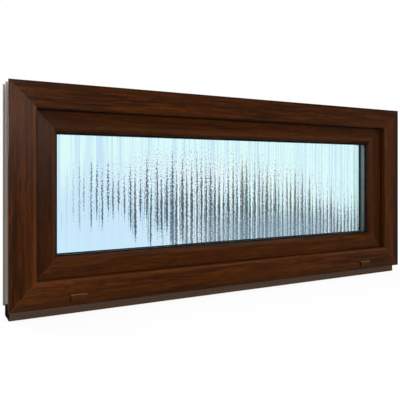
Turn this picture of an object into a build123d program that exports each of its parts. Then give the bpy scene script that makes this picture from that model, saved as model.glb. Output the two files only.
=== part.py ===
from build123d import *
import os

# Driving dimensions in millimetres. In a section, heights run inwards from the outer edge of the frame
# and depths run inwards from its outside face.

# Outer frame
frame_width = 1200.0
frame_height = 500.0
frame_depth = 82.0
frame_leg_height = 60.0
frame_leg_thickness = 15.0
frame_rebate_height = 38.0
frame_lip_radius = 4.0
frame_edge_radius = 2.0
frame_back_leg = 4.5
frame_back_fin = 4.0
frame_recess_depth = 9.0
frame_fin_cut_height = 12.0

# Walls of the extruded profiles
outer_wall = 2.8
inner_web = 1.6

# Sash
sash_seal_gap = 3.0
sash_rebate_gap = 12.0
sash_overlap = 20.0
sash_overlap_thickness = 15.0
sash_body_height = 42.0
sash_glazing_leg = 16.0
sash_leg_thickness = 16.0
sash_bevel_drop = 10.0
sash_flat_in_view = 39.0
sash_ridge_radius = 2.0
sash_edge_radius = 1.5
hardware_groove_width = 12.0
hardware_groove_depth = 6.5
hardware_mouth_width = 16.0
hardware_mouth_depth = 2.5

# Seals between frame and sash
leg_seal_height = 6.0
leg_seal_setback = 2.0
overlap_seal_margin = 1.0
seal_radius = 0.8
seal_wall = 0.9

# Foot of every seal and gasket, pushed into a groove of the profile
seal_foot_width = 2.4
seal_foot_depth = 2.4
seal_foot_clearance = 0.2

# Glazing
outer_gasket_thickness = 4.0
inner_gasket_thickness = 3.0
gasket_height = 10.0
gasket_reach = 3.0
gasket_foot_rise = 2.2
gasket_tip = 1.2
glass_edge_clearance = 5.0
pane_thickness = 4.0
cavity_depth = 16.0
spacer_height = 6.5
spacer_edge_cover = 5.0
spacer_wall = 0.8

# Glazing bead
bead_nose = 6.0
bead_back_height = 5.0
bead_wall = 1.4
bead_foot_width = 2.6
bead_foot_depth = 3.5
bead_foot_inset = 10.0
bead_foot_clearance = 0.4

# Base profile under the frame
base_height = 22.0
base_setback = 20.0
base_leg_clearance = 1.5
base_end_inset = 4.0
base_wall = 2.0
base_edge_radius = 1.0
base_chambers = 3
base_fin_clearance = 0.5

# Drain slots and the caps over the outermost ones
drain_slot_width = 26.0
drain_slot_height = 5.0
drain_slot_shift = 60.0
cap_width = 40.0
cap_height = 16.5
cap_projection = 5.0
cap_end_distance = 131.0
cap_rise = 9.0
cap_wall = 1.4
cap_corner_radius = 3.0
cap_bevel = 1.8
cap_foot_length = 8.0
cap_foot_clearance = 0.6

# Places that follow from the sizes above
half_width = frame_width / 2
base_depth = frame_depth - frame_back_leg - base_leg_clearance - base_setback
face_y = -(base_setback + base_depth / 2)
frame_bottom = base_height
frame_top = frame_bottom + frame_height
middle_z = (frame_bottom + frame_top) / 2
fin_middle = face_y + frame_depth / 2

sash_face = frame_leg_thickness + sash_seal_gap
sash_leg_back = sash_face + sash_leg_thickness
overlap_front = frame_depth + sash_seal_gap
sash_back = overlap_front + sash_overlap_thickness
sash_outer_edge = frame_rebate_height + sash_rebate_gap
sash_overlap_edge = sash_outer_edge - sash_overlap
glazing_floor = sash_outer_edge + sash_body_height
sash_sight = glazing_floor + sash_glazing_leg

glass_front = sash_leg_back + outer_gasket_thickness
cavity_front = glass_front + pane_thickness
inner_pane_front = cavity_front + cavity_depth
glass_back = inner_pane_front + pane_thickness
bead_front = glass_back + inner_gasket_thickness
glass_edge = glazing_floor + glass_edge_clearance
gasket_sight = sash_sight + gasket_reach
gasket_root = gasket_sight - gasket_height
gasket_foot = gasket_root + gasket_foot_rise
leg_seal_sight = frame_leg_height - leg_seal_setback
leg_seal_middle = leg_seal_sight - leg_seal_height / 2
overlap_seal_height = frame_rebate_height - sash_overlap_edge - 2 * overlap_seal_margin
overlap_seal_middle = (frame_rebate_height + sash_overlap_edge) / 2
bead_foot_depth_place = sash_back - bead_foot_inset

os.makedirs("parts", exist_ok=True)

# Each side of the window has a plane whose X points inwards, whose Y is depth and whose Z runs along it
side_planes = {
    "head": Plane(origin=(0, face_y, frame_top), x_dir=(0, 0, -1), z_dir=(1, 0, 0)),
    "bottom": Plane(origin=(0, face_y, frame_bottom), x_dir=(0, 0, 1), z_dir=(-1, 0, 0)),
    "left": Plane(origin=(-half_width, face_y, middle_z), x_dir=(1, 0, 0), z_dir=(0, 0, 1)),
    "right": Plane(origin=(half_width, face_y, middle_z), x_dir=(-1, 0, 0), z_dir=(0, 0, -1)),
}
side_lengths = {"head": frame_width, "bottom": frame_width, "left": frame_height, "right": frame_height}


def mitred_length(section, side):
    """One length of a profile along a side of the window, cut at 45 degrees at both corners."""
    plane = side_planes[side]
    half_length = side_lengths[side] / 2
    with BuildPart() as length:
        with BuildSketch(plane):
            add(section.sketch)
        extrude(amount=half_length, both=True)
        for end in (-1, 1):
            corner = plane.origin + plane.z_dir * (end * half_length)
            mitre = Plane(origin=corner, z_dir=plane.z_dir * -end - plane.x_dir)
            split(bisect_by=mitre, keep=Keep.TOP)
    return length


def cut_at(height, depth, across_height, across_depth):
    """A rectangle taken out of a section, from its lowest height and depth."""
    with Locations((height, depth)):
        Rectangle(across_height, across_depth, align=(Align.MIN, Align.MIN), mode=Mode.SUBTRACT)


def seal_groove(height, depth, opening):
    """Groove for the foot of a seal, open at a face of the profile."""
    width = seal_foot_width + 2 * seal_foot_clearance
    with Locations((height, depth)):
        Rectangle(width, seal_foot_depth + seal_foot_clearance, align=(Align.CENTER, opening), mode=Mode.SUBTRACT)


def seal_foot(height, depth, opening):
    """Foot of a seal, which fills its groove but for the clearance."""
    with Locations((height, depth)):
        Rectangle(seal_foot_width, seal_foot_depth, align=(Align.CENTER, opening))


def hollow_seal(middle_height, front_depth, across_height):
    """Body of a seal between frame and sash: a rounded tube as thick as the gap that it fills."""
    with Locations((middle_height, front_depth + sash_seal_gap / 2)):
        RectangleRounded(across_height, sash_seal_gap, seal_radius)
        SlotOverall(across_height - 2 * seal_wall, sash_seal_gap - 2 * seal_wall, mode=Mode.SUBTRACT)


def write_piece(piece, name):
    piece.part.label = name
    export_step(piece.part, f"parts/{name}.step")


def write_ring(section, name):
    """The four mitred lengths of a profile that runs round the window."""
    for side in side_planes:
        write_piece(mitred_length(section, side), f"{name}_{side}")


# Outer frame profile: a tall leg outside, a lower rebate inside, and at the back a shallow recess
# between two legs, with a fin in its middle that accessories clip over
back_recess_width = (frame_depth - 2 * frame_back_leg - frame_back_fin) / 2
back_recess_starts = (frame_back_leg, frame_back_leg + back_recess_width + frame_back_fin)
with BuildSketch() as frame_outline:
    with BuildLine():
        Polyline(
            (0, 0),
            (frame_leg_height, 0),
            (frame_leg_height, frame_leg_thickness),
            (frame_rebate_height, frame_leg_thickness),
            (frame_rebate_height, frame_depth),
            (0, frame_depth),
            close=True,
        )
    make_face()
    for recess_start in back_recess_starts:
        cut_at(0, recess_start, frame_recess_depth, back_recess_width)
    seal_groove(leg_seal_middle, frame_leg_thickness, Align.MAX)
    fillet(frame_outline.vertices().group_by(Axis.Y)[0].sort_by(Axis.X)[-1], radius=frame_lip_radius)
    fillet(frame_outline.vertices().group_by(Axis.Y)[0].sort_by(Axis.X)[0], radius=frame_edge_radius)

leg_web_depth = frame_leg_thickness - outer_wall
main_chamber_pitch = (frame_depth - frame_leg_thickness) / 3
with BuildSketch() as frame_chambers:
    add(frame_outline.sketch)
    offset(amount=-outer_wall, kind=Kind.INTERSECTION, mode=Mode.REPLACE)
    cut_at(0, leg_web_depth, frame_rebate_height, inner_web)
    cut_at(frame_rebate_height - inner_web, 0, inner_web, frame_leg_thickness)
    for chamber in (1, 2):
        cut_at(0, frame_leg_thickness + chamber * main_chamber_pitch, frame_rebate_height, inner_web)
with BuildSketch() as frame_section:
    add(frame_outline.sketch)
    add(frame_chambers.sketch, mode=Mode.SUBTRACT)

write_piece(mitred_length(frame_section, "head"), "frame_head")

# At the two lower corners the fin is cut away, so that the base profile slides on from the end
fin_corner_x = half_width - frame_recess_depth / 2
lower_corners = ((-fin_corner_x, fin_middle, frame_bottom), (fin_corner_x, fin_middle, frame_bottom))


def without_corner_fins(side):
    """A length of the frame with its fin cut away at the lower corners."""
    blank = mitred_length(frame_section, side)
    with BuildPart() as length:
        add(blank.part)
        with Locations(lower_corners):
            Box(
                frame_recess_depth,
                frame_back_fin,
                frame_fin_cut_height,
                align=(Align.CENTER, Align.CENTER, Align.MIN),
                mode=Mode.SUBTRACT,
            )
    return length


for side in ("left", "right"):
    write_piece(without_corner_fins(side), f"frame_{side}")

# The two bottom lengths are drained. Water in a rebate runs through slots at the foot of the leg into
# the front chamber, and leaves it through slots that are further out, so that wind can't blow it back.
cap_x = half_width - cap_end_distance - cap_width / 2
frame_rebate_slot_x = cap_x - drain_slot_shift
sash_outlet_slot_x = frame_rebate_slot_x - drain_slot_shift
sash_rebate_slot_x = sash_outlet_slot_x - drain_slot_shift


def rebate_slots(slot_x, rebate_height, leg_face, leg_back):
    """What two slots take out of the foot of a leg and the web below it, on a level with a rebate."""
    slot_front = leg_face + outer_wall
    slot_y = face_y + (slot_front + leg_back) / 2
    with BuildPart() as slots:
        with BuildSketch(Plane.XY.offset(frame_bottom + rebate_height - inner_web)):
            with Locations((-slot_x, slot_y), (slot_x, slot_y)):
                Rectangle(drain_slot_width, leg_back - slot_front)
        extrude(amount=drain_slot_height)
    return slots


cap_middle_z = frame_bottom + cap_rise + cap_height / 2
cap_plane = Plane(origin=(0, face_y, cap_middle_z), x_dir=(1, 0, 0), z_dir=(0, -1, 0))
cap_places = ((-cap_x, 0), (cap_x, 0))
frame_bottom_blank = without_corner_fins("bottom")
frame_rebate_slots = rebate_slots(frame_rebate_slot_x, frame_rebate_height, 0, frame_leg_thickness)
with BuildPart() as frame_bottom_length:
    add(frame_bottom_blank.part)
    with BuildSketch(cap_plane):
        with Locations(cap_places):
            SlotOverall(drain_slot_width, drain_slot_height)
    extrude(amount=-outer_wall, mode=Mode.SUBTRACT)
    add(frame_rebate_slots.part, mode=Mode.SUBTRACT)
write_piece(frame_bottom_length, "frame_bottom")

# Sash profile: it seals against the frame's leg outside and laps over the frame inside
hardware_groove_middle = (sash_face + overlap_front) / 2
with BuildSketch() as sash_outline:
    with BuildLine():
        Polyline(
            (sash_outer_edge, sash_face),
            (frame_leg_height + sash_flat_in_view, sash_face),
            (sash_sight, sash_face + sash_bevel_drop),
            (sash_sight, sash_leg_back),
            (glazing_floor, sash_leg_back),
            (glazing_floor, sash_back),
            (sash_overlap_edge, sash_back),
            (sash_overlap_edge, overlap_front),
            (sash_outer_edge, overlap_front),
            close=True,
        )
    make_face()
    with Locations((sash_outer_edge, hardware_groove_middle)):
        Rectangle(
            hardware_mouth_depth, hardware_mouth_width, align=(Align.MIN, Align.CENTER), mode=Mode.SUBTRACT
        )
        Rectangle(
            hardware_groove_depth, hardware_groove_width, align=(Align.MIN, Align.CENTER), mode=Mode.SUBTRACT
        )
    with Locations((glazing_floor, bead_foot_depth_place)):
        Rectangle(
            bead_foot_depth + bead_foot_clearance,
            bead_foot_width + 2 * bead_foot_clearance,
            align=(Align.MAX, Align.CENTER),
            mode=Mode.SUBTRACT,
        )
    seal_groove(gasket_foot, sash_leg_back, Align.MAX)
    seal_groove(overlap_seal_middle, overlap_front, Align.MIN)
    fillet(sash_outline.vertices().group_by(Axis.Y)[-1].sort_by(Axis.X)[0], radius=sash_edge_radius)
    fillet(sash_outline.vertices().group_by(Axis.Y)[0].sort_by(Axis.X)[-1], radius=sash_ridge_radius)

sash_chamber_pitch = (sash_back - sash_leg_back) / 3
with BuildSketch() as sash_chambers:
    add(sash_outline.sketch)
    offset(amount=-outer_wall, kind=Kind.INTERSECTION, mode=Mode.REPLACE)
    cut_at(sash_outer_edge, sash_leg_back - outer_wall, sash_body_height, inner_web)
    cut_at(glazing_floor - inner_web, sash_face, inner_web, sash_leg_thickness)
    cut_at(sash_outer_edge, overlap_front, inner_web, sash_overlap_thickness)
    for chamber in (1, 2):
        cut_at(sash_outer_edge, sash_leg_back + chamber * sash_chamber_pitch, sash_body_height, inner_web)
with BuildSketch() as sash_section:
    add(sash_outline.sketch)
    add(sash_chambers.sketch, mode=Mode.SUBTRACT)
for side in ("head", "left", "right"):
    write_piece(mitred_length(sash_section, side), f"sash_{side}")

front_chamber_y = face_y + (sash_face + sash_leg_back) / 2
sash_bottom_blank = mitred_length(sash_section, "bottom")
sash_rebate_slots = rebate_slots(sash_rebate_slot_x, glazing_floor, sash_face, sash_leg_back)
with BuildPart() as sash_bottom_length:
    add(sash_bottom_blank.part)
    add(sash_rebate_slots.part, mode=Mode.SUBTRACT)
    with BuildSketch(Plane.XY.offset(frame_bottom + sash_outer_edge)):
        with Locations((-sash_outlet_slot_x, front_chamber_y), (sash_outlet_slot_x, front_chamber_y)):
            SlotOverall(drain_slot_width, drain_slot_height)
    extrude(amount=outer_wall, mode=Mode.SUBTRACT)
write_piece(sash_bottom_length, "sash_bottom")

# Seal on the back of the frame's leg, pressed by the face of the sash
with BuildSketch() as leg_seal_section:
    hollow_seal(leg_seal_middle, frame_leg_thickness, leg_seal_height)
    seal_foot(leg_seal_middle, frame_leg_thickness, Align.MAX)
write_ring(leg_seal_section, "leg_seal")

# Seal between the frame's inside face and the sash that laps over it
with BuildSketch() as overlap_seal_section:
    hollow_seal(overlap_seal_middle, frame_depth, overlap_seal_height)
    seal_foot(overlap_seal_middle, overlap_front, Align.MIN)
write_ring(overlap_seal_section, "overlap_seal")

# Outer glazing gasket: a wedge whose lip leans on the glass
with BuildSketch() as outer_gasket_section:
    with BuildLine():
        Polyline(
            (gasket_root, sash_leg_back),
            (sash_sight, sash_leg_back),
            (gasket_sight, glass_front - gasket_tip),
            (gasket_sight, glass_front),
            (gasket_root, glass_front),
            close=True,
        )
    make_face()
    seal_foot(gasket_foot, sash_leg_back, Align.MAX)
write_ring(outer_gasket_section, "outer_gasket")

# Inner glazing gasket, between the glass and the bead
with BuildSketch() as inner_gasket_section:
    with BuildLine():
        Polyline(
            (gasket_root, bead_front),
            (sash_sight, bead_front),
            (gasket_sight, glass_back + gasket_tip),
            (gasket_sight, glass_back),
            (gasket_root, glass_back),
            close=True,
        )
    make_face()
    seal_foot(gasket_foot, bead_front, Align.MIN)
write_ring(inner_gasket_section, "inner_gasket")

# Glazing bead: hollow and rounded towards the room, with a foot that snaps into the sash
with BuildSketch() as bead_outline:
    with BuildLine():
        Polyline(
            (glazing_floor + bead_back_height, sash_back),
            (glazing_floor, sash_back),
            (glazing_floor, bead_front),
            (sash_sight, bead_front),
            (sash_sight, bead_front + bead_nose),
        )
        TangentArc(
            (sash_sight, bead_front + bead_nose),
            (glazing_floor + bead_back_height, sash_back),
            tangent=(0, 1),
        )
    make_face()
    seal_groove(gasket_foot, bead_front, Align.MIN)
with BuildSketch() as bead_chamber:
    add(bead_outline.sketch)
    offset(amount=-bead_wall, kind=Kind.INTERSECTION, mode=Mode.REPLACE)
with BuildSketch() as bead_section:
    add(bead_outline.sketch)
    add(bead_chamber.sketch, mode=Mode.SUBTRACT)
    with Locations((glazing_floor, bead_foot_depth_place)):
        Rectangle(bead_foot_depth, bead_foot_width, align=(Align.MAX, Align.CENTER))
write_ring(bead_section, "glazing_bead")

# Spacer bar that holds the two panes apart, with its hollow for drying beads
spacer_low = glass_edge + spacer_edge_cover
with BuildSketch() as spacer_section:
    with Locations((spacer_low, cavity_front)):
        Rectangle(spacer_height, cavity_depth, align=(Align.MIN, Align.MIN))
    with Locations((spacer_low + spacer_wall, cavity_front + spacer_wall)):
        Rectangle(
            spacer_height - 2 * spacer_wall,
            cavity_depth - 2 * spacer_wall,
            align=(Align.MIN, Align.MIN),
            mode=Mode.SUBTRACT,
        )
write_ring(spacer_section, "spacer_bar")

# Sealant that fills the edge of the unit outside the spacer bar and holds the panes together
with BuildSketch() as edge_sealant_section:
    with Locations((glass_edge, cavity_front)):
        Rectangle(spacer_edge_cover, cavity_depth, align=(Align.MIN, Align.MIN))
write_ring(edge_sealant_section, "edge_sealant")

# Two panes of the sealed unit
for pane_name, pane_front in (("outer_pane", glass_front), ("inner_pane", inner_pane_front)):
    with BuildPart() as pane:
        with BuildSketch(Plane(origin=(0, face_y + pane_front, middle_z), x_dir=(1, 0, 0), z_dir=(0, -1, 0))):
            Rectangle(frame_width - 2 * glass_edge, frame_height - 2 * glass_edge)
        extrude(amount=-pane_thickness)
    write_piece(pane, pane_name)

# Base profile: open chambers side by side, its top in the frame's recess and slotted over the middle fin
base_plane = Plane(origin=(0, 0, 0), x_dir=(0, 1, 0), z_dir=(1, 0, 0))
base_top = base_height + frame_recess_depth
fin_slot_width = frame_back_fin + 2 * base_fin_clearance
with BuildSketch() as base_outline:
    with Locations((0, base_top / 2)):
        RectangleRounded(base_depth, base_top, base_edge_radius)
    with Locations((fin_middle, base_top)):
        Rectangle(
            fin_slot_width,
            frame_recess_depth + base_fin_clearance,
            align=(Align.CENTER, Align.MAX),
            mode=Mode.SUBTRACT,
        )
with BuildSketch() as base_openings:
    add(base_outline.sketch)
    offset(amount=-base_wall, kind=Kind.INTERSECTION, mode=Mode.REPLACE)
    for chamber in range(1, base_chambers):
        with Locations((chamber * base_depth / base_chambers - base_depth / 2, base_top / 2)):
            Rectangle(inner_web, base_top, mode=Mode.SUBTRACT)
with BuildPart() as base_profile:
    with BuildSketch(base_plane):
        add(base_outline.sketch)
        add(base_openings.sketch, mode=Mode.SUBTRACT)
    extrude(amount=half_width - base_end_inset, both=True)
write_piece(base_profile, "base_profile")

# Drain caps: a thin hood, open below for the water, with a foot that plugs into the drain slot
for cap_side, cap_place in zip(("left", "right"), cap_places):
    with BuildPart() as drain_cap:
        with BuildSketch(cap_plane):
            with Locations(cap_place):
                RectangleRounded(cap_width, cap_height, cap_corner_radius)
        extrude(amount=cap_projection)
        cap_front = drain_cap.faces().sort_by(Axis.Y)[0]
        chamfer(cap_front.edges(), length=cap_bevel)
        with BuildSketch(cap_plane):
            with Locations((cap_place[0], -cap_wall)):
                Rectangle(drain_slot_width, cap_height)
        extrude(amount=cap_projection - cap_wall, mode=Mode.SUBTRACT)
        with BuildSketch(cap_plane.offset(cap_projection - cap_wall)):
            with Locations(cap_place):
                SlotOverall(drain_slot_width - 2 * cap_foot_clearance, drain_slot_height - 2 * cap_foot_clearance)
        extrude(amount=-(cap_projection - cap_wall + cap_foot_length))
    write_piece(drain_cap, f"drain_cap_{cap_side}")
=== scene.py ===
import math

import bmesh
import bpy
from mathutils import Matrix, Vector, noise


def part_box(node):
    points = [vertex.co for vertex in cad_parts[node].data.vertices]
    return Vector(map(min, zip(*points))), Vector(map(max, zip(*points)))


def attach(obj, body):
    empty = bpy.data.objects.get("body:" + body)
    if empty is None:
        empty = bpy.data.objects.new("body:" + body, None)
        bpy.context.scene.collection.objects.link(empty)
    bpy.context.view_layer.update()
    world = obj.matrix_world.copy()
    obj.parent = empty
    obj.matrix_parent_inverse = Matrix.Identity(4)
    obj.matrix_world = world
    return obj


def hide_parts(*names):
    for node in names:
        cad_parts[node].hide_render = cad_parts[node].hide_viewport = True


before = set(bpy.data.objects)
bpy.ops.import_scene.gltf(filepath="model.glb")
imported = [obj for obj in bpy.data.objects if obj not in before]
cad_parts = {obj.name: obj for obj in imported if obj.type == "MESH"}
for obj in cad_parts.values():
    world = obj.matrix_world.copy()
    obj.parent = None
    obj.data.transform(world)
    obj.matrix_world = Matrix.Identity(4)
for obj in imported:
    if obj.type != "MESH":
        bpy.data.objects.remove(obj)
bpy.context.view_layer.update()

# Camera: the window is seen from outside and from the left, from a level camera a little above
# the window's middle. Its height and distance are those that give the photograph's perspective.
frame_low, frame_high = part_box("frame_left")[0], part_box("frame_right")[1]
camera_left_of_frame = 0.1726
camera_in_front = 1.152
camera_above_frame_foot = 0.3006
camera_turn = math.radians(28.94)
picture_size = 400
focal_pixels = 514.6
horizon_pixel = 172.3
sensor_width = 36.0

camera_data = bpy.data.cameras.new("camera")
camera_data.sensor_width = sensor_width
camera_data.lens = sensor_width * focal_pixels / picture_size
camera_data.shift_y = (horizon_pixel - picture_size / 2) / picture_size
camera = bpy.data.objects.new("camera", camera_data)
camera.location = (
    frame_low.x - camera_left_of_frame,
    frame_low.y - camera_in_front,
    frame_low.z + camera_above_frame_foot,
)
camera.rotation_euler = (math.radians(90), 0, -camera_turn)
bpy.context.scene.collection.objects.link(camera)
bpy.context.scene.camera = camera

# Outer frame: four lengths of extruded uPVC profile, welded at the mitred corners. The outside is
# covered with a walnut wood-grain foil that wraps the leg; the wall side and the inside stay white.
frame_middle_x = (frame_low.x + frame_high.x) / 2
frame_middle_z = (frame_low.z + frame_high.z) / 2
frame_half_width = (frame_high.x - frame_low.x) / 2
frame_half_height = (frame_high.z - frame_low.z) / 2
frame_foil_end = 0.0152
foil_wrap_at_wall = 0.0046
wall_recess_height = 0.0095
wall_side_height = 0.016
wall_side_fade = 0.005
weld_half_width = 0.0009
weld_share_above = 0.15
# Lower down the weld line also carries a painted highlight.
weld_and_highlight_share_below = 0.50
weld_core_half_width = 0.0002
weld_core_share = 0.8
painted_edge_full = 0.0015
painted_edge_end = 0.0045
painted_shade_share = 0.65
emboss_strength = 0.5
emboss_depth = 0.0004
foil_dark = (0.017, 0.0042, 0.0003, 1)
foil_middle = (0.040, 0.0098, 0.0005, 1)
foil_red = (0.066, 0.0155, 0.0009, 1)
foil_pore = (0.010, 0.0026, 0.0003, 1)
foil_weld = (0.120, 0.0480, 0.0150, 1)
# Painted highlight for the foil's rounded edges.
foil_painted_highlight = (0.125, 0.0400, 0.0110, 1)
# Painted shade for the head's lower lip, the frame's outer edges and the sash beside the frame's lip.
painted_shade_colour = (0.005, 0.0020, 0.0005, 1)
body_white = (0.74, 0.74, 0.72, 1)
body_lines = (0.66, 0.66, 0.64, 1)
# Painted shade for the white body on the wall side, with its extruder lines.
body_painted_shade = (0.185, 0.156, 0.135, 1)
body_painted_shade_lines = (0.27, 0.235, 0.21, 1)
body_roughness = 0.45


class Amount:
    """A number that a material works out for each place on a piece. Amounts and plain numbers are
    added, subtracted, multiplied and compared with the usual signs, and each sign makes a node."""

    def __init__(self, socket):
        self.socket = socket
        self.tree = socket.id_data

    def __add__(self, other):
        return worked_out("ADD", self, other)

    def __sub__(self, other):
        return worked_out("SUBTRACT", self, other)

    def __rsub__(self, other):
        return worked_out("SUBTRACT", other, self)

    def __mul__(self, other):
        return worked_out("MULTIPLY", self, other)

    def __lt__(self, other):
        return worked_out("LESS_THAN", self, other)

    def __gt__(self, other):
        return worked_out("GREATER_THAN", self, other)

    def __abs__(self):
        return worked_out("ABSOLUTE", self)

    __radd__ = __add__
    __rmul__ = __mul__


def feed(node, inputs):
    """Feeds the inputs of a node, each with a plain value or with an amount or colour."""
    for name, value in dict(inputs).items():
        if isinstance(value, Amount):
            value = value.socket
        if isinstance(value, bpy.types.NodeSocket):
            node.id_data.links.new(value, node.inputs[name])
        else:
            node.inputs[name].default_value = value


def add_node(tree, kind, inputs=(), **settings):
    """Adds a node and returns its outputs."""
    node = tree.nodes.new(kind)
    for name, value in settings.items():
        setattr(node, name, value)
    feed(node, inputs)
    return node.outputs


def worked_out(operation, *values):
    """The amount that one step of maths makes of others."""
    tree = next(value.tree for value in values if isinstance(value, Amount))
    return Amount(add_node(tree, "ShaderNodeMath", enumerate(values), operation=operation)[0])


def smallest(first, second):
    return worked_out("MINIMUM", first, second)


def largest(first, second):
    return worked_out("MAXIMUM", first, second)


def smooth_step(value, low, high):
    """0 below low, 1 above high, and a soft rise between them. It falls if high is the lower one."""
    inputs = {0: value, 1: low, 2: high}
    return Amount(add_node(value.tree, "ShaderNodeMapRange", inputs, interpolation_type="SMOOTHSTEP")[0])


def even_step(value, low, high, at_low, at_high):
    """Goes evenly from at_low, where the value is low, to at_high, where it is high."""
    inputs = {0: value, 1: low, 2: high, 3: at_low, 4: at_high}
    return Amount(add_node(value.tree, "ShaderNodeMapRange", inputs)[0])


def blend_colours(share, first, second):
    """The first colour with a share of the second."""
    return add_node(share.tree, "ShaderNodeMix", {0: share, 6: first, 7: second}, data_type="RGBA")[2]


def stretched_noise(place, scales, detail=3.0, roughness=0.55):
    """Noise whose cells are longer along the axes with the lower scales, which are cells per metre."""
    tree = place[0].tree
    stretched = {axis: place[axis] * scale for axis, scale in enumerate(scales)}
    vector = add_node(tree, "ShaderNodeCombineXYZ", stretched)[0]
    inputs = {"Vector": vector, "Scale": 1.0, "Detail": detail, "Roughness": roughness}
    return Amount(add_node(tree, "ShaderNodeTexNoise", inputs)[0])


def new_material(name):
    """A new material, its shader, and the X, Y and Z of the place being shaded."""
    material = bpy.data.materials.new(name)
    material.use_nodes = True
    tree = material.node_tree
    coordinates = add_node(tree, "ShaderNodeTexCoord")["Object"]
    place = [Amount(part) for part in add_node(tree, "ShaderNodeSeparateXYZ", {0: coordinates})]
    return material, tree.nodes["Principled BSDF"], place


def foiled_material(name, runs_along, foil_end, painted_tone, edge, shade_band):
    """Wood-grain foil on the outside of a profile down to the depth foil_end, white body behind it.
    A lower tone darkens the foil as painted shade. Its rounded edge is given by its height, width
    and change: painted highlight where the change is above zero, painted shade where it is below.
    A band of painted shade is given by the height it lies at and the width over which it thins out."""
    material, shader, place = new_material(name)
    tree = material.node_tree
    edge_height, edge_width, painted_edge_change = edge
    shade_band_height, shade_band_width = shade_band
    along = 0 if runs_along == "X" else 2

    def grain(along_scale, across_scale, detail, roughness=0.55):
        """Noise that is drawn out along the profile."""
        scales = [across_scale] * 3
        scales[along] = along_scale
        return stretched_noise(place, scales, detail, roughness)

    boards = grain(2.2, 34.0, 2.0)
    streaks = grain(7.0, 150.0, 3.0, 0.65)
    fibres = grain(26.0, 460.0, 3.0, 0.65)
    pores = grain(45.0, 1100.0, 1.0)
    colour = blend_colours(smooth_step(boards, 0.38, 0.58), foil_dark, foil_middle)
    colour = blend_colours(0.85 * smooth_step(streaks, 0.42, 0.66), colour, foil_red)
    colour = blend_colours(0.70 * smooth_step(fibres, 0.54, 0.38), colour, foil_dark)
    colour = blend_colours(0.60 * smooth_step(pores, 0.42, 0.30), colour, foil_pore)

    # The weld along each mitre is a lighter line with a fine dark line in it; lower down a painted
    # highlight makes it lighter still.
    from_side = frame_half_width - abs(place[0] - frame_middle_x)
    from_end = frame_half_height - abs(place[2] - frame_middle_z)
    height = smallest(from_side, from_end)
    from_mitre = abs(from_side - from_end)
    highlight_lower_down = smooth_step(place[2], 0.3, 0.1)
    weld_and_highlight_share = weld_share_above + (weld_and_highlight_share_below - weld_share_above) * highlight_lower_down
    colour = blend_colours((from_mitre < weld_half_width) * weld_and_highlight_share, colour, foil_weld)
    colour = blend_colours((from_mitre < weld_core_half_width) * weld_core_share, colour, foil_pore)
    # Painted shade: each side's tone darkens its foil by its own amount.
    toned = {0: 1.0, 6: colour, 7: (painted_tone, painted_tone, painted_tone, 1)}
    colour = add_node(tree, "ShaderNodeMix", toned, data_type="RGBA", blend_type="MULTIPLY")[2]

    # Painted highlight along the rounded edge where the change is above zero, painted shade where it is
    # below.
    up_to_edge = smooth_step(height, edge_height - edge_width, edge_height)
    over_edge = smooth_step(height, edge_height + painted_edge_end, edge_height + painted_edge_full)
    painted_edge_colour = foil_painted_highlight if painted_edge_change > 0 else painted_shade_colour
    colour = blend_colours(up_to_edge * over_edge * abs(painted_edge_change), colour, painted_edge_colour)
    # A band of painted shade: along the frame's outer edges and on the sash beside the frame's lip.
    in_shade_band = smooth_step(height, shade_band_height + shade_band_width, shade_band_height)
    colour = blend_colours(painted_shade_share * in_shade_band, colour, painted_shade_colour)

    # The body keeps faint lines from the extruder, and on the wall side it is painted dark as shade.
    depth = place[1] - frame_low.y
    foiled = (depth < foil_end) * largest(height > wall_recess_height, depth < foil_wrap_at_wall)
    extrusion_lines = grain(0.5, 160.0, 3.0)
    lined = smooth_step(extrusion_lines, 0.35, 0.65)
    uneven_height = height + 0.004 * extrusion_lines
    on_wall_side = smooth_step(uneven_height, wall_side_height, wall_side_height - wall_side_fade)
    body = blend_colours(
        on_wall_side,
        blend_colours(lined, body_white, body_lines),
        blend_colours(lined, body_painted_shade, body_painted_shade_lines),
    )

    foil_roughness = even_step(fibres, 0.3, 0.7, 0.32, 0.42)
    emboss = {"Strength": emboss_strength * foiled, "Distance": emboss_depth, "Height": fibres}
    feed(shader, {
        "Base Color": blend_colours(foiled, body, colour),
        "Roughness": even_step(foiled, 0.0, 1.0, body_roughness, foil_roughness),
        "Specular IOR Level": 0.045,
        "Anisotropic": 0.7,
        "Anisotropic Rotation": 0.25,
        "Tangent": add_node(tree, "ShaderNodeCombineXYZ", {along: 1.0})[0],
        "Normal": add_node(tree, "ShaderNodeBump", emboss)[0],
    })
    return material


def finish_node(name, material):
    """Gives a CAD node its material."""
    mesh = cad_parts[name].data
    mesh.materials.clear()
    mesh.materials.append(material)


# For each side: its run, its tone of painted shade, its rounded edge (painted highlight where the change is
# above zero, painted shade below), and its band of painted shade.
for side, runs_along, painted_tone, edge, shade_band in (
    ("head", "X", 0.78, (0.0585, 0.0080, -0.45), (-0.004, 0.018)),
    ("bottom", "X", 0.96, (0.0575, 0.0080, 0.20), (-0.012, 0.040)),
    ("left", "Z", 0.80, (0.0545, 0.0060, 0.20), (-0.012, 0.010)),
    ("right", "Z", 0.86, (0.0575, 0.0120, 0.10), (0.006, 0.022)),
):
    foil = foiled_material("frame_foil_" + side, runs_along, frame_foil_end, painted_tone, edge, shade_band)
    finish_node("frame_" + side, foil)

# Base profile: hollow uPVC section clipped under the frame, dark brown all through. Its ends are
# left open, and painted shade in black covers the cut ends and the insides of the chambers.
base_colour = (0.053, 0.032, 0.021, 1)
base_worn_colour = (0.066, 0.041, 0.027, 1)
base_painted_end_shade = (0.0015, 0.0013, 0.0012, 1)
base_sawn_end = 0.0006
base_skin = 0.0012
base_low, base_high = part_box("base_profile")
base_middle = (base_low + base_high) / 2
base_reach = base_high - base_middle

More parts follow.
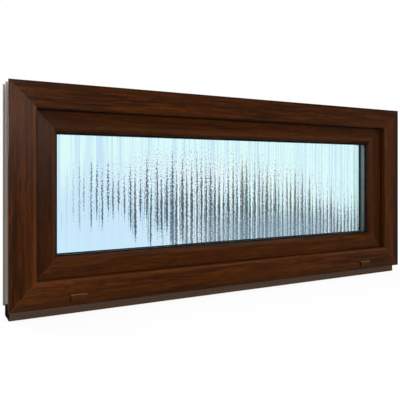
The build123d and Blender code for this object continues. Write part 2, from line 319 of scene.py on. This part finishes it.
base_material, shader, place = new_material("base_profile_brown")
base_streaks = stretched_noise(place, (1.2, 60.0, 60.0))
base_brown = blend_colours(smooth_step(base_streaks, 0.35, 0.65), base_colour, base_worn_colour)
# Painted shade: black on the cut ends and on the walls inside the chambers.
at_end = abs(place[0]) > base_high.x - base_sawn_end
within_depth = abs(place[1] - base_middle.y) < base_reach.y - base_skin
within_height = abs(place[2] - base_middle.z) < base_reach.z - base_skin
feed(shader, {
    "Base Color": blend_colours(largest(at_end, within_depth * within_height), base_brown, base_painted_end_shade),
    "Roughness": 0.55,
    "Specular IOR Level": 0.02,
})
finish_node("base_profile", base_material)

# Seals and gaskets: black rubber tubes between the frame and the sash, and black rubber lips that
# hold the glass on both sides. Each is pushed into a groove, so only a thin edge shows.
seal_colour = (0.004, 0.004, 0.004, 1)
seal_dusty_colour = (0.009, 0.009, 0.008, 1)

seal_material, shader, place = new_material("seal_rubber")
seal_dust = stretched_noise(place, (90.0, 90.0, 90.0), 4.0)
feed(shader, {
    "Base Color": blend_colours(smooth_step(seal_dust, 0.4, 0.7), seal_colour, seal_dusty_colour),
    "Roughness": 0.65,
    "Specular IOR Level": 0.02,
})
for side in ("head", "bottom", "left", "right"):
    for ring in ("leg_seal_", "overlap_seal_", "outer_gasket_", "inner_gasket_"):
        finish_node(ring + side, seal_material)

# Sash: the inner ring of uPVC profile, welded like the frame and fixed into it. Its outside is
# foiled as far as the gasket, down the bevel that leads to the glass.
sash_foil_end = 0.0343
sash_edge_height = 0.1005
# Height of the sash's band of painted shade beside the frame's lip.
sash_shade_band_height = 0.0612

# For each side: its run, its tone of painted shade, the width and change of its painted edge highlight, and
# the width of its band of painted shade.
for side, runs_along, painted_tone, edge_width, painted_edge_change, shade_band_width in (
    ("head", "X", 0.62, 0.0220, 0.13, 0.0015),
    ("bottom", "X", 0.84, 0.0080, 0.02, 0.0015),
    ("left", "Z", 0.50, 0.0100, 0.17, 0.0015),
    ("right", "Z", 0.63, 0.0080, 0.06, 0.0060),
):
    edge = (sash_edge_height, edge_width, painted_edge_change)
    shade_band = (sash_shade_band_height, shade_band_width)
    foil = foiled_material("sash_foil_" + side, runs_along, sash_foil_end, painted_tone, edge, shade_band)
    finish_node("sash_" + side, foil)

# Glass unit, outside: a pane of clear float glass, faintly green, with hardly visible marks from
# washing. It lies on the sash's outer gasket.
clear_tint = (0.975, 0.99, 0.99, 1)
clear_washed_tint = (0.960375, 0.97515, 0.97515, 1)
glass_index = 1.5


def make_glass(material, tint, gloss_roughness, gloss_share):
    """Makes a material glass: it tints what is behind it and, where a ray meets it from the air,
    mirrors a little."""
    tree = material.node_tree
    tree.nodes.remove(tree.nodes["Principled BSDF"])
    through = add_node(tree, "ShaderNodeBsdfTransparent", {0: tint})[0]
    gloss = add_node(tree, "ShaderNodeBsdfGlossy", {"Roughness": gloss_roughness})[0]
    mirrored = Amount(add_node(tree, "ShaderNodeFresnel", {"IOR": glass_index})[0])
    from_inside = Amount(add_node(tree, "ShaderNodeNewGeometry")["Backfacing"])
    share = mirrored * (1.0 - from_inside) * gloss_share
    glass = add_node(tree, "ShaderNodeMixShader", {0: share, 1: through, 2: gloss})[0]
    feed(tree.nodes["Material Output"], {"Surface": glass})


clear_material, _, place = new_material("clear_float_glass")
wash_marks = stretched_noise(place, (5.0, 1.0, 14.0))
clear_colour = blend_colours(wash_marks, clear_tint, clear_washed_tint)
make_glass(clear_material, clear_colour, gloss_roughness=0.02, gloss_share=0.35)
finish_node("outer_pane", clear_material)

# Glass unit, spacer: a folded aluminium tube that runs round between the panes and keeps them
# apart. The joint outside it is filled with black sealant.
spacer_colour = (0.086, 0.107, 0.105, 1)
spacer_scuffed = (0.053, 0.067, 0.064, 1)

spacer_material, shader, place = new_material("spacer_metal")
spacer_lines = stretched_noise(place, (8.0, 700.0, 8.0))
feed(shader, {
    "Base Color": blend_colours(smooth_step(spacer_lines, 0.35, 0.65), spacer_colour, spacer_scuffed),
    "Metallic": 0.6,
    "Roughness": 0.42,
})
for side in ("head", "bottom", "left", "right"):
    finish_node("spacer_bar_" + side, spacer_material)
    finish_node("edge_sealant_" + side, seal_material)

# Glass unit, inside: a pane of cast glass. A roller has pressed long, uneven upright ripples into
# the side that faces the spacer, and the other side is flat.
pane_low, pane_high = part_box("inner_pane")
pane_size = pane_high - pane_low
pane_middle = (pane_low + pane_high) / 2
pane_columns = 620
pane_rows = 24
ripple_pitch = 0.0125
ripple_depth = 0.0007
ripple_edge = 0.012
ripple_cells_up = 4
ripple_wander = 0.004
wander_cells_across = 9
wander_cells_up = 6
noise_layer = 3.7

pane_shape = bmesh.new()
bmesh.ops.create_grid(pane_shape, x_segments=pane_columns, y_segments=pane_rows, size=0.5)
bmesh.ops.scale(pane_shape, vec=(pane_size.x, pane_size.z, 1), verts=pane_shape.verts)
bmesh.ops.rotate(pane_shape, matrix=Matrix.Rotation(math.radians(90), 3, "X"), verts=pane_shape.verts)
bmesh.ops.translate(pane_shape, vec=(pane_middle.x, pane_low.y, pane_middle.z), verts=pane_shape.verts)
for face in pane_shape.faces:
    face.smooth = True
rolled_points = list(pane_shape.verts)
rim_edges = [edge for edge in pane_shape.edges if edge.is_boundary]
pulled = bmesh.ops.extrude_edge_only(pane_shape, edges=rim_edges)["geom"]
back_points = [item for item in pulled if isinstance(item, bmesh.types.BMVert)]
bmesh.ops.translate(pane_shape, vec=(0, pane_size.y, 0), verts=back_points)
bmesh.ops.holes_fill(pane_shape, edges=[edge for edge in pane_shape.edges if edge.is_boundary])
for point in rolled_points:
    x, z = point.co.x, point.co.z
    from_edge = min(x - pane_low.x, pane_high.x - x, z - pane_low.z, pane_high.z - z)
    rise = min(from_edge / ripple_edge, 1)
    wander = ripple_wander * noise.noise(Vector((x * wander_cells_across, z * wander_cells_up, 0)))
    wave = noise.noise(Vector(((x + wander) / ripple_pitch, z * ripple_cells_up, noise_layer)))
    point.co.y += ripple_depth * rise * (0.5 + 0.5 * wave)
bmesh.ops.recalc_face_normals(pane_shape, faces=pane_shape.faces)
pane_mesh = bpy.data.meshes.new("patterned_pane")
pane_shape.to_mesh(pane_mesh)
pane_shape.free()
pane = bpy.data.objects.new("patterned_pane", pane_mesh)
bpy.context.scene.collection.objects.link(pane)
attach(pane, "root")
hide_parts("inner_pane")

# Pale bands, dark upright needles and glints are painted into the glass colour: painted light and
# shade for the view that the ripples bend. The needles begin as beads and thin lines below a curved
# upper limit, grow broader downwards, and melt into grey. At the left they end above a lower limit
# that falls away to the right.
light_tint = (0.76, 1.0, 1.0, 1)
shade_tint = (0.52, 0.75, 0.95, 1)
haze_tint = (0.61, 0.82, 1.0, 1)
grey_tint = (0.45, 0.59, 0.70, 1)
needle_dark = (0.008, 0.026, 0.038, 1)
needle_blue = (0.078, 0.155, 0.230, 1)
needle_pale = (0.180, 0.262, 0.335, 1)
glint_tint = (1.0, 1.0, 1.0, 1)
needle_pitch = 0.0145
upper_limit_peak = 0.366
upper_limit_peak_x = -0.12
upper_limit_bend = 0.35
lower_limit_peak = 0.190
lower_limit_at_middle = 0.018
lower_limit_slope = 0.5
tip_scatter = 0.06
foot_scatter = 0.07
foot_length = 0.06
point_cut = 0.09
seal_line_width = 0.0045
# Black for the sealant line beside the spacer, with painted shade.
seal_and_shade_line_tint = (0.010, 0.018, 0.022, 1)
spacer_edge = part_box("spacer_bar_right")[0].x

pane_material, _, place = new_material("patterned_glass")
across, depth, up = place


def around_zero(value, spread):
    """Moves a value between 0 and 1 so that it swings to both sides of zero."""
    return (value - 0.5) * spread


slow_wander = around_zero(stretched_noise(place, (30.0, 1.0, 7.0), 1.0), 0.005)
quick_wander = around_zero(stretched_noise(place, (70.0, 1.0, 110.0), 1.0), 0.0035)
bent_across = across + (slow_wander + quick_wander)


def upright_lines(pitch, randomness, offset):
    """Upright lines at uneven steps: how far a place is from its line, in steps, and the line's own
    three random values."""
    inputs = {"W": bent_across + offset, "Scale": 1 / pitch, "Randomness": randomness}
    lines = add_node(across.tree, "ShaderNodeTexVoronoi", inputs, voronoi_dimensions="1D")
    own = add_node(across.tree, "ShaderNodeSeparateColor", {0: lines["Color"]})
    return Amount(lines["Distance"]), [Amount(value) for value in own]


from_peak = across - upper_limit_peak_x
below_limit = upper_limit_peak - upper_limit_bend * (from_peak * from_peak) - up
lower_limit = smallest(lower_limit_at_middle - lower_limit_slope * across, lower_limit_peak)
over_limit = up - lower_limit
to_the_middle = smooth_step(across, -0.48, -0.14)
less_at_the_right = 1.0 - 0.5 * smooth_step(across, 0.24, 0.42)
melted = smooth_step(up, 0.245, 0.165) * smooth_step(across, -0.16, 0.08) * less_at_the_right
fading = smooth_step(up, 0.235, 0.145) * smooth_step(across, -0.36, -0.06) * less_at_the_right
near_tips = smooth_step(below_limit, -0.04, 0.02) * smooth_step(below_limit, 0.15, 0.06)
grit = stretched_noise(place, (330.0, 1.0, 270.0), 1.0, 0.6)
grit_push = around_zero(grit, 0.16 + 0.52 * to_the_middle + 0.45 * near_tips)


def needles(pitch, randomness, offset, start, growth, width):
    """Upright pointed streaks, each with its own tip and foot, thinner towards the left. The start
    is how far below the upper limit they begin, and the growth how far on they are full size."""
    distance, own = upright_lines(pitch, randomness, offset)
    full_size = start + growth * (0.5 + 0.5 * to_the_middle)
    tip = smooth_step(below_limit + around_zero(own[0], tip_scatter), start, full_size)
    foot = smooth_step(over_limit + around_zero(own[1], foot_scatter), -0.01, foot_length)
    own_size = 0.88 + around_zero(own[2], 0.3) * to_the_middle
    breadth = width * (0.54 + 0.46 * to_the_middle)
    half_width = tip * foot * own_size * (breadth + 0.06) - point_cut
    return smooth_step(half_width - (distance + grit_push), -0.045, 0.040)


from_left_edge = smooth_step(across, -0.49, -0.38)
wide_needles = from_left_edge * needles(
    needle_pitch, randomness=0.28, offset=0.0, start=-0.03, growth=0.15, width=0.31
)
thin_needles = from_left_edge * (0.25 + 0.75 * to_the_middle) * needles(
    needle_pitch, randomness=0.4, offset=0.0073, start=0.02, growth=0.14, width=0.19
)
threads = needles(pitch=0.0060, randomness=0.9, offset=0.31, start=0.08, growth=0.12, width=0.32)

glint_distance, glint_own = upright_lines(pitch=0.0083, randomness=0.8, offset=0.77)
in_needles = smooth_step(below_limit, -0.01, 0.07) * smooth_step(over_limit, 0.0, 0.08)
glint_lines = smooth_step(glint_distance + grit_push, 0.26, 0.06) * smooth_step(glint_own[0], 0.1, 0.6)
glints = glint_lines * in_needles * to_the_middle * (1.0 - 0.75 * melted)
beads = near_tips * smooth_step(across, -0.48, -0.22) * smooth_step(across, 0.45, 0.15)
dark_beads = beads * smooth_step(grit, 0.40, 0.32)
bright_beads = beads * smooth_step(grit, 0.55, 0.62)
bands = stretched_noise(place, (150.0, 1.0, 1.5), 3.0, 0.65)
band_share = smooth_step(bands, 0.44, 0.64) * (0.85 - 0.25 * smooth_step(across, -0.40, 0.10))
low_left = smooth_step(below_limit, -0.04, 0.10) * smooth_step(across, 0.05, -0.25)

# Beside the right spacer, a painted black line stands for the sealant under the pane and the shade at its
# edge.
by_spacer = smooth_step(across, spacer_edge - seal_line_width, spacer_edge - 0.8 * seal_line_width)

# The needles, bands and glints below are painted light and shade in the glass colour.
needle_tint = blend_colours(0.4 + 0.6 * to_the_middle, needle_blue, needle_dark)
needle_tint = blend_colours(0.85 * fading, needle_tint, needle_pale)
painted_view_colour = blend_colours(band_share, light_tint, shade_tint)
for share, tint in (
    (0.88 * low_left, haze_tint),
    (0.70 * melted, grey_tint),
    (0.40 * threads, needle_blue),
    (0.66 * thin_needles, needle_tint),
    (0.92 * glints, glint_tint),
    (0.92 * wide_needles, needle_tint),
    (0.50 * dark_beads, needle_tint),
    (0.90 * bright_beads, glint_tint),
    (by_spacer, seal_and_shade_line_tint),
):
    painted_view_colour = blend_colours(share, painted_view_colour, tint)
on_rippled_side = depth < pane_low.y + 2 * ripple_depth
painted_view_colour = blend_colours(on_rippled_side, (1, 1, 1, 1), painted_view_colour)
make_glass(pane_material, painted_view_colour, gloss_roughness=0.12, gloss_share=0.3)
pane_mesh.materials.append(pane_material)

# Glazing beads: small hollow uPVC bars, white like the inside, that snap into the sash from the
# room and hold the glass against the outer gasket.
bead_white = (0.80, 0.80, 0.78, 1)
bead_shade = (0.72, 0.72, 0.70, 1)

bead_material, shader, place = new_material("bead_white")
bead_lines = stretched_noise(place, (120.0, 120.0, 120.0), 2.0)
feed(shader, {
    "Base Color": blend_colours(smooth_step(bead_lines, 0.3, 0.7), bead_white, bead_shade),
    "Roughness": 0.3,
})
for side in ("head", "bottom", "left", "right"):
    finish_node("glazing_bead_" + side, bead_material)

# Drain caps: moulded plastic hoods in a brown near the foil's, plugged over the drain slots. Their
# top edges carry a painted highlight, their left sides painted shade, and the lower part is darker
# towards the bottom.
cap_colour = (0.027, 0.0080, 0.0009, 1)
cap_mottled = (0.042, 0.0140, 0.0022, 1)
cap_painted_highlight = (0.125, 0.0530, 0.0180, 1)
cap_darkened = (0.006, 0.0020, 0.0006, 1)
cap_edge = 0.0016
cap_darkening_height = 0.012

for cap in ("drain_cap_left", "drain_cap_right"):
    cap_low, cap_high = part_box(cap)
    cap_material, shader, place = new_material(cap + "_plastic")
    cap_grain = stretched_noise(place, (90.0, 300.0, 300.0))
    cap_brown = blend_colours(smooth_step(cap_grain, 0.35, 0.7), cap_colour, cap_mottled)
    # Painted highlight along the top edge.
    top_edge = smooth_step(place[2], cap_high.z - cap_edge, cap_high.z - cap_edge / 2)
    cap_brown = blend_colours(0.8 * top_edge, cap_brown, cap_painted_highlight)
    # Painted shade on the left side; the lower part is darker towards the bottom.
    shaded_left_side = smooth_step(place[0], cap_low.x + cap_edge, cap_low.x + cap_edge / 2)
    lower_part = smooth_step(place[2], cap_low.z + cap_darkening_height, cap_low.z)
    feed(shader, {
        "Base Color": blend_colours(largest(shaded_left_side, 0.5 * lower_part), cap_brown, cap_darkened),
        "Roughness": 0.36,
        "Specular IOR Level": 0.05,
    })
    finish_node(cap, cap_material)

# Floor and backdrop: a plain white sheet under the window, and plain white all round it. The
# camera sees the sheet as white paper on which only the window's own shadow stays.
floor_colour = (0.86, 0.86, 0.86, 1)
floor_half = 6.0
paper_share_near = 0.88
paper_starts = 0.65
paper_full = 2.0

floor_mesh = bpy.data.meshes.new("floor")
floor_shape = bmesh.new()
bmesh.ops.create_grid(floor_shape, x_segments=1, y_segments=1, size=floor_half)
floor_shape.to_mesh(floor_mesh)
floor_shape.free()
floor = bpy.data.objects.new("floor", floor_mesh)
bpy.context.scene.collection.objects.link(floor)


def seen_directly(tree):
    """1 for the rays of the camera and of mirror images and clear glass, 0 for those that carry light."""
    rays = add_node(tree, "ShaderNodeLightPath")
    mirrored = largest(Amount(rays["Is Glossy Ray"]), Amount(rays["Is Transmission Ray"]))
    return largest(Amount(rays["Is Camera Ray"]), mirrored)


floor_material, shader, _ = new_material("white_floor")
feed(shader, {"Base Color": floor_colour, "Roughness": 0.9})
tree = floor_material.node_tree
coordinates = add_node(tree, "ShaderNodeTexCoord")["Object"]
from_window = Amount(add_node(tree, "ShaderNodeVectorMath", {0: coordinates}, operation="LENGTH")["Value"])
far_share = smooth_step(from_window, paper_starts, paper_full)
paper_share = seen_directly(tree) * (paper_share_near + (1 - paper_share_near) * far_share)
paper = add_node(tree, "ShaderNodeEmission", {0: (1, 1, 1, 1), 1: 1.0})[0]
sheet = add_node(tree, "ShaderNodeMixShader", {0: paper_share, 1: shader.outputs[0], 2: paper})[0]
feed(tree.nodes["Material Output"], {"Surface": sheet})
floor_mesh.materials.append(floor_material)

world_strength = 0.28
world = bpy.data.worlds.new("studio")
world.use_nodes = True
tree = world.node_tree
world_light = tree.nodes["Background"]
feed(world_light, {"Color": (1, 1, 1, 1), "Strength": world_strength})
world_white = add_node(tree, "ShaderNodeBackground", {0: (1, 1, 1, 1), 1: 1.0})[0]
surroundings = {0: seen_directly(tree), 1: world_light.outputs[0], 2: world_white}
feed(tree.nodes["World Output"], {"Surface": add_node(tree, "ShaderNodeMixShader", surroundings)[0]})
bpy.context.scene.world = world

# Lamps: a large soft one over the camera's left shoulder, a small one low on the left that makes
# the upright grain shine, a long one overhead along the window, and a soft one behind it.
for lamp_name, lamp_place, lamp_width, lamp_height, lamp_power in (
    ("key_lamp", Vector((-0.9, -2.4, 2.3)), 1.8, 1.8, 17.0),
    ("grain_lamp", Vector((-0.74, -2.65, 0.76)), 0.5, 0.5, 54.0),
    ("overhead_lamp", Vector((0.5, -1.0, 2.1)), 2.6, 0.4, 34.0),
    ("room_lamp", Vector((-1.3, 2.1, 1.3)), 1.8, 1.8, 55.0),
):
    lamp_data = bpy.data.lights.new(lamp_name, "AREA")
    lamp_data.shape = "RECTANGLE"
    lamp_data.size = lamp_width
    lamp_data.size_y = lamp_height
    lamp_data.energy = lamp_power
    lamp = bpy.data.objects.new(lamp_name, lamp_data)
    lamp.location = lamp_place
    aim = Vector((frame_middle_x, frame_low.y, frame_middle_z)) - lamp_place
    lamp.rotation_euler = aim.to_track_quat("-Z", "Y").to_euler()
    bpy.context.scene.collection.objects.link(lamp)

bpy.context.scene.view_settings.view_transform = "Standard"
